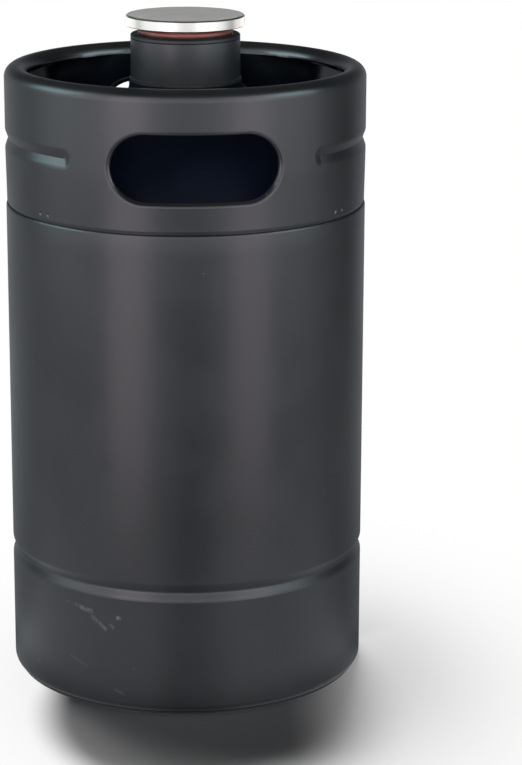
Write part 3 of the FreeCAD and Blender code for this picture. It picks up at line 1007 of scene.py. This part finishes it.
# ---- Stage ---------------------------------------------------------------------------
class Reach(Enum):
    """What a lamp does: it lights surfaces, shows in gloss, or both."""

    LIGHT = (True, False)
    GLOSS = (False, True)
    BOTH = (True, True)


@dataclass(frozen=True)
class Softbox:
    """A rectangular lamp that stands or hangs beside the keg.

    Attributes:
        distance: Distance of its middle from the keg's axis.
        size: Its width and height.
        radiance: Brightness of its face.
        aim: Height on the axis that it faces; it stands upright without one.
    """

    name: str
    azimuth: float
    distance: float
    height: float
    size: Span
    radiance: float
    tint: Colour = WHITE
    aim: float | None = None
    reach: Reach = Reach.BOTH

    def place(self) -> bpy.types.Object:
        """Adds the lamp, unseen by the camera.

        Returns:
            The lamp.
        """
        data = bpy.data.lights.new(self.name, "AREA")
        data.shape = "RECTANGLE"
        data.size, data.size_y = self.size
        data.energy = self.radiance * math.pi * self.size[0] * self.size[1]
        data.color = self.tint
        lamp = bpy.data.objects.new(self.name, data)
        lamp.location = around_axis(self.azimuth, self.distance, self.height)
        target = Vector((0, 0, self.height if self.aim is None else self.aim))
        lamp.rotation_euler = (target - lamp.location).to_track_quat("-Z", "Y").to_euler()
        lamp.visible_camera = False
        lamp.visible_diffuse, lamp.visible_glossy = self.reach.value
        bpy.context.scene.collection.objects.link(lamp)
        return lamp


PINK: Colour = (1.0, 0.79, 0.90)
COOL: Colour = (0.66, 1.0, 1.05)


class Rays(Wiring):
    """The tree of the floor or of the surround, which tells the rays apart."""

    def __init__(self, owner: bpy.types.Material | bpy.types.World, space: str) -> None:
        """Starts with the masks for the camera's rays and for those in gloss and glass.

        Args:
            owner: The material or the world to fill.
            space: The coordinates of its places, such as Object.
        """
        owner.use_nodes = True
        super().__init__(owner.node_tree)
        self.place = self.node("TexCoord").outputs[space]
        paths = self.node("LightPath").outputs
        self.camera = paths["Is Camera Ray"]
        self.mirrored = self.larger(paths["Is Glossy Ray"], paths["Is Transmission Ray"])


@dataclass
class Studio:
    """A pale floor, a surround that is white to the camera, and the lamps.

    The strips and panels stand low round the keg and show in its gloss, the keys hang high
    behind it for the shadow, the fill lights its front, and the last lamps light the cap.

    Attributes:
        floor_bounce: Colour of the floor for the light that it gives back.
        shadow_middle: Middle of the part of the floor that shows the keg's shadow.
        shadow_reach: Half its width on the left and on the right, and half its depth.
        shadow_edge: Share of it where it starts to fade, and ends, left and right.
        shadow_turn: Half the widths over which reach and edge go from left to right.
        white_from: Distances from white_middle between which the floor turns white.
        white_behind: Places along Y between which the floor turns white.
        painted_shadow: How much a painted shadow round painted_shadow_middle darkens the
            white floor.
        foot_shade: Distances between which the floor's glow starts, and its least share.
        foot_glow: Distances between which the glow near the foot goes over into the rest.
        foot_levels: The glow's level near the foot, behind and in front.
        far_glow: Strength of the glow on the far floor in front, past far_from.
        low_sky: Sines of elevation between which the low surround's glow ends.
        upper_glow: Strength of the glow above it in front, which ends by high_sky.
        ceiling: Least brightness of the surround in gloss.
        ambient: Brightness of the surround for plain light.
    """

    floor_radius: float = 8.0
    floor_colour: Colour = (0.90, 0.90, 0.90)
    floor_bounce: Colour = (0.18, 0.18, 0.19)
    shadow_middle: Span = (0.031, -0.075)
    shadow_reach: tuple[float, float, float] = (0.141, 0.011, 0.163)
    shadow_edge: tuple[float, float, float] = (0.61, 0.77, 7.46)
    shadow_turn: Span = (0.01, 0.02)
    white_middle: tuple[float, float, float] = (0.02, -0.05, 0.0)
    white_from: Span = (0.15, 0.24)
    white_behind: Span = (-0.03, 0.03)
    # A painted shadow on the white floor, on the keg's right
    painted_shadow_middle: tuple[float, float, float] = (0.038, -0.032, 0.0)
    painted_shadow_reach: tuple[float, float, float] = (0.084, 0.113, 1.0)
    painted_shadow: float = 0.59
    foot_shade: tuple[float, float, float] = (0.092, 0.118, 0.46)
    foot_glow: Span = (0.15, 0.45)
    foot_levels: Span = (0.66, 1.30)
    far_from: Span = (0.98, 1.28)
    far_glow: float = 1.25
    low_sky: Span = (-0.05, 0.45)
    high_sky: Span = (0.45, 0.8)
    upper_glow: float = 1.9
    ceiling: float = 0.03
    ambient: float = 0.03
    glow_tint: Colour = (0.925, 0.985, 1.055)
    glow: Tree = field(default_factory=lambda: Glow().group())
    strips: tuple[Softbox, ...] = (
        Softbox("left_strip", -36, 0.38, 0.26, (0.16, 0.50), 1.58, PINK),
        Softbox("right_strip", 34, 0.38, 0.26, (0.16, 0.50), 1.25, PINK),
        Softbox("left_panel", -92, 0.80, 0.62, (0.60, 0.40), 3.9, COOL),
        Softbox("right_panel", 66, 0.80, 0.62, (0.50, 0.40), 3.3, COOL),
    )
    keys: tuple[Softbox, ...] = (
        Softbox("key", 176, 0.62, 2.60, (0.35, 0.35), 129.0, aim=0.0, reach=Reach.LIGHT),
        Softbox("soft_key", -168, 0.75, 2.60, (0.80, 0.80), 15.9, aim=0.0,
                reach=Reach.LIGHT),
    )
    fill: Softbox = Softbox("fill", -8, 1.30, 0.75, (0.60, 0.60), 11.0, aim=0.15,
                            reach=Reach.LIGHT)
    cap_lights: tuple[Softbox, ...] = (
        Softbox("cap_light", 180, 0.60, 1.20, (0.35, 0.35), 13.0, aim=0.3),
        Softbox("cap_left_glow", -138, 0.60, 0.16, (0.60, 0.50), 1.5, reach=Reach.GLOSS),
        Softbox("cap_right_glow", 130, 0.60, 0.16, (0.60, 0.50), 1.5, reach=Reach.GLOSS),
    )

    def build(self) -> None:
        """Makes the floor, the surround and the lamps."""
        floor = self.floor()
        self.surround()
        beside = bpy.data.collections.new("not_lit_by_strips")
        beside.objects.link(floor)
        beside.collection_objects[0].light_linking.link_state = "EXCLUDE"
        for lamp in (*self.strips, self.fill):
            lamp.place().light_linking.receiver_collection = beside
        for key in self.keys:
            key.place()
        cap = bpy.data.collections.new("lit_by_cap_lights")
        cap.objects.link(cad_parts["cap_cover"])
        for lamp in self.cap_lights:
            lamp.place().light_linking.receiver_collection = cap

    def floor(self) -> bpy.types.Object:
        """A round floor that is plainly lit by the keg and white further off.

        Returns:
            The floor.
        """
        mesh = bpy.data.meshes.new("floor")
        shape = bmesh.new()
        bmesh.ops.create_circle(shape, cap_ends=True, radius=self.floor_radius, segments=96)
        shape.to_mesh(mesh)
        shape.free()
        floor = bpy.data.objects.new("floor", mesh)
        bpy.context.scene.collection.objects.link(floor)
        mesh.materials.append(self.floor_material())
        return floor

    def floor_material(self) -> bpy.types.Material:
        """Plain near the keg and white further off; in gloss it shows the glow instead.

        Returns:
            The material.
        """
        material = bpy.data.materials.new("pale_floor")
        rays = Rays(material, "Object")
        colour = rays.blend(rays.camera, self.floor_bounce, self.floor_colour)
        plain = rays.node("BsdfDiffuse", colour)
        # Painted shadow: the white that the camera sees dims round the keg's right
        seen = rays.times(self.white_with_painted_shadow(rays), rays.camera)
        gloss = rays.times(self.floor_glow(rays), rays.minus(1.0, rays.camera))
        white = rays.node("Emission", rays.blend(rays.camera, self.glow_tint, WHITE),
                          rays.plus(gloss, seen))
        far = rays.times(self.beyond_shadow(rays), rays.camera)
        mixed = rays.node("MixShader", rays.larger(far, rays.mirrored), plain.outputs[0],
                          white.outputs[0])
        rays.node("OutputMaterial", mixed.outputs[0])
        return material

    def floor_glow(self, rays: Rays) -> Socket:
        """How bright the floor is in gloss.

        Args:
            rays: The floor's tree.

        Returns:
            The brightness.
        """
        start, end, shade = self.foot_shade
        reach = rays.vector("LENGTH", rays.place)
        around = rays.group(self.glow, Place=rays.place)
        ahead = around.outputs["Ahead"]
        level = rays.ramp(ahead, 0.0, 1.0, *self.foot_levels)
        foot = rays.times(rays.ramp(reach, start, end, shade, 1.0),
                          rays.ramp(reach, *self.foot_glow, level, 1.0))
        near = rays.times(foot, around.outputs["Strength"])
        lift = rays.times(rays.ramp(reach, *self.far_from, 0.0, self.far_glow), ahead)
        return rays.plus(near, lift)

    def beyond_shadow(self, rays: Rays) -> Socket:
        """1 where the floor is plain white, 0 where it shows the keg's shadow.

        Args:
            rays: The floor's tree.

        Returns:
            The mask; it fades over a longer way on the keg's right.
        """
        left, right, deep = self.shadow_reach
        start, end_left, end_right = self.shadow_edge
        turn, end_turn = self.shadow_turn
        x, y, _ = rays.axes(rays.place)
        across = rays.minus(x, self.shadow_middle[0])
        along = rays.minus(y, self.shadow_middle[1])
        half = rays.ramp(across, -turn, turn, left, right)
        wide = rays.calc("DIVIDE", across, half)
        long = rays.calc("DIVIDE", along, deep)
        square = rays.plus(rays.times(wide, wide), rays.times(long, long))
        end = rays.ramp(across, -end_turn, end_turn, end_left, end_right)
        near = rays.ramp(rays.calc("SQRT", square), start, end)
        away = rays.vector("DISTANCE", rays.place, self.white_middle)
        beyond = rays.larger(rays.ramp(away, *self.white_from),
                             rays.ramp(y, *self.white_behind))
        return rays.larger(near, beyond)

    def white_with_painted_shadow(self, rays: Rays) -> Socket:
        """White with a painted shadow that dims it towards the keg, as the soft light's
        shadow does.

        Args:
            rays: The floor's tree.

        Returns:
            The brightness.
        """
        away = rays.vector("SUBTRACT", rays.place, self.painted_shadow_middle)
        scaled = rays.vector("DIVIDE", away, self.painted_shadow_reach)
        square = rays.vector("DOT_PRODUCT", scaled, scaled)
        fall = rays.calc("EXPONENT", rays.times(square, -1.0))
        return rays.minus(1.0, rays.times(fall, self.painted_shadow))

    def surround(self) -> None:
        """A white surround to the camera; gloss shows the glow up to a dark ceiling."""
        world = bpy.data.worlds.new("surround")
        bpy.context.scene.world = world
        rays = Rays(world, "Generated")
        up = rays.axes(rays.place)[2]
        around = rays.group(self.glow, Place=rays.place)
        low = rays.times(rays.ramp(up, *self.low_sky, 1.0, 0.0), around.outputs["Strength"])
        high = rays.times(rays.ramp(up, *self.high_sky, self.upper_glow, 0.0),
                          around.outputs["Ahead"])
        sky = rays.larger(rays.plus(low, high), self.ceiling)
        plain = rays.larger(rays.times(sky, rays.mirrored), self.ambient)
        light = rays.node("Background", rays.blend(rays.mirrored, WHITE, self.glow_tint),
                          rays.larger(plain, rays.camera))
        rays.node("OutputWorld", light.outputs[0])


@dataclass
class Viewpoint:
    """The camera, a little above the keg and turned slightly to its left.

    Yaw and pitch are in degrees, roll in radians, and the lens and sensor in millimetres.
    """

    distance: float = 1.199
    height: float = 0.4556
    azimuth: float = -3.0
    yaw: float = 1.640
    pitch: float = 15.109
    roll: float = 0.0039
    focal_length: float = 126.65
    sensor: float = 36.0

    def place(self) -> None:
        """Adds the camera and makes it the scene's."""
        data = bpy.data.cameras.new("camera")
        data.sensor_fit = "VERTICAL"
        data.sensor_height = self.sensor
        data.lens = self.focal_length
        camera = bpy.data.objects.new("camera", data)
        camera.location = around_axis(self.azimuth, self.distance, self.height)
        turn = math.radians(self.azimuth) - math.radians(self.yaw)
        heading = Matrix.Rotation(turn, 3, "Z")
        tilt = Matrix.Rotation(math.radians(90 - self.pitch), 3, "X")
        level = Matrix.Rotation(self.roll, 3, "Z")
        camera.rotation_euler = (heading @ tilt @ level).to_euler()
        bpy.context.scene.collection.objects.link(camera)
        bpy.context.scene.camera = camera


def main() -> None:
    """Dresses the keg from the shell inwards and sets up its stage."""
    logging.basicConfig(level=logging.INFO, format="%(name)s %(message)s")
    effects = Effects(grain_effect(), turned_effect(), handling_effect())
    for assembly in (Shell(effects), Neck(effects), InnerVessel(effects), Cap(effects)):
        assembly.dress()
    Studio().build()
    Viewpoint().place()
    bpy.context.scene.view_settings.view_transform = "Standard"


if __name__ == "__main__":
    main()
